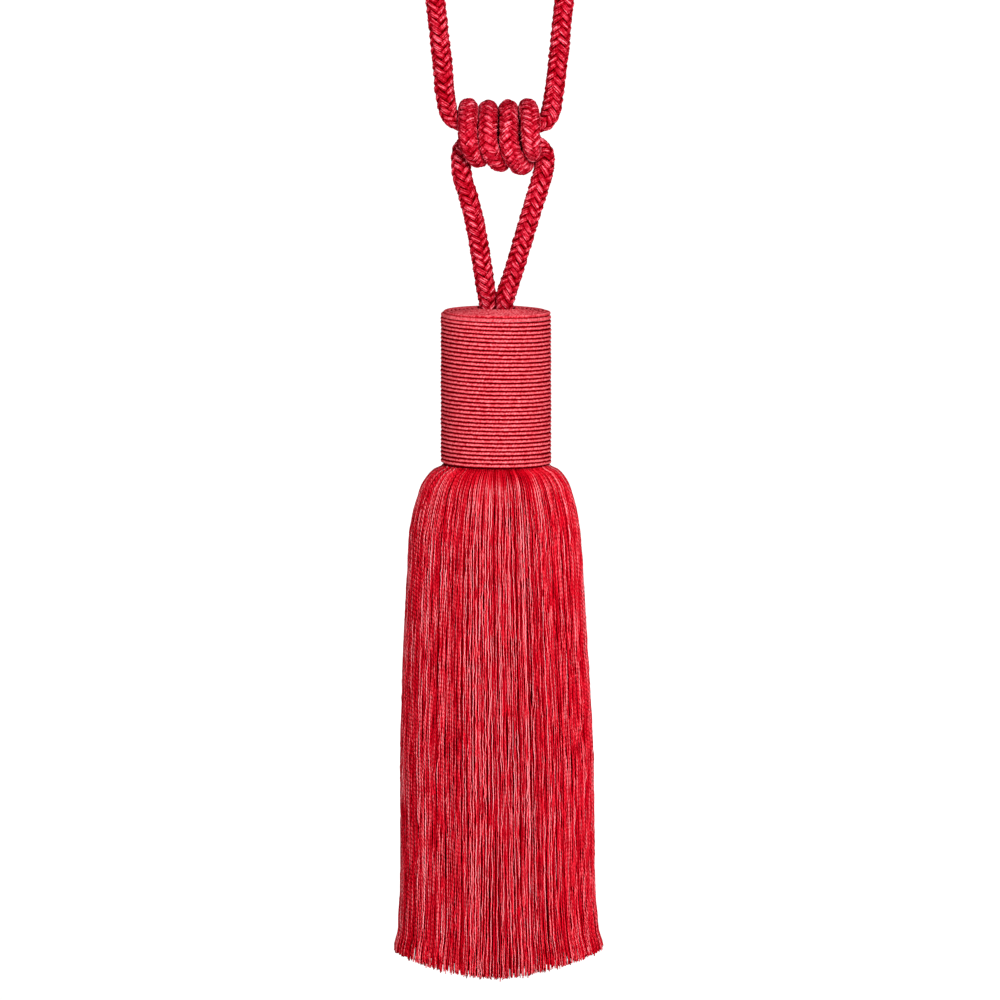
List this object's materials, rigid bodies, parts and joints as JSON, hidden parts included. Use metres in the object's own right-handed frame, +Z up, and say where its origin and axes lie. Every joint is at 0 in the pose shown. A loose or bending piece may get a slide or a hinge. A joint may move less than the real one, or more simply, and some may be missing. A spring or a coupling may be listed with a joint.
{
  "type": "silk curtain tieback tassel hanging from its rope loop",
  "caption": "Hanging tassel: a skirt of silky threads under a cord-wound head, on a braided rope loop tied by a coiled knot to the loop it hangs from.",
  "frame": {"origin": "the point the tassel hangs from: the inner top of the curtain loop", "axes": "+Z up, along the hanging tassel; the front faces -Y and the curtain loop lies in the XZ plane"},
  "size_m": [0.0934, 0.0934, 0.4881],
  "materials": {
    "rope": "braided silky yarn, crimson",
    "head_cord": "fine twisted cord, wound close, satin crimson",
    "skirt_threads": "fine silky threads, crimson with a soft sheen"
  },
  "bodies": {
    "root": {"curtain_loop": "rope", "tassel_loop": "rope", "knot": "rope", "head": "head_cord", "skirt": "skirt_threads"}
  },
  "joints": []
}
